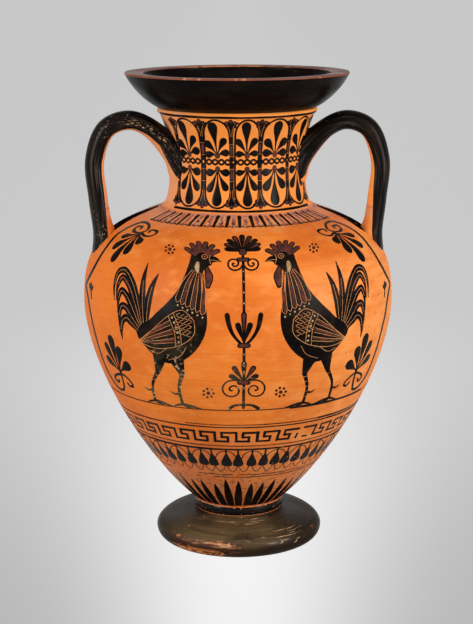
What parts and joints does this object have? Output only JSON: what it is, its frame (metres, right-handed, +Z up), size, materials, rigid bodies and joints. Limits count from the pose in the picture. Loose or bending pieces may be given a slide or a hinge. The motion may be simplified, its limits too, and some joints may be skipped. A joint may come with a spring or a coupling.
{
  "type": "neck-amphora",
  "caption": "Free-standing pottery storage jar with an ovoid body, waisted neck, flaring mouth, round foot and upright loop handles, painted in black on orange clay.",
  "frame": {"origin": "middle of the foot's resting ring, on the surface that the vase stands on", "axes": "+Z up along the turning axis, handles on -X and +X, front picture facing -Y"},
  "size_m": [0.2792, 0.2792, 0.43],
  "materials": {
    "clay": "orange clay, burnished, slightly glossy",
    "black_gloss": "black gloss slip",
    "brown_gloss": "thin brownish black gloss slip, worn at the edge",
    "added_red": "matt purple-red slip",
    "added_white": "matt cream slip"
  },
  "bodies": {
    "root": {"foot": "brown_gloss", "foot_fillet": "black_gloss", "lower_body": "clay", "upper_body": "clay", "neck": "clay", "mouth": "black_gloss", "left_handle": "black_gloss", "right_handle": "black_gloss"}
  },
  "joints": []
}
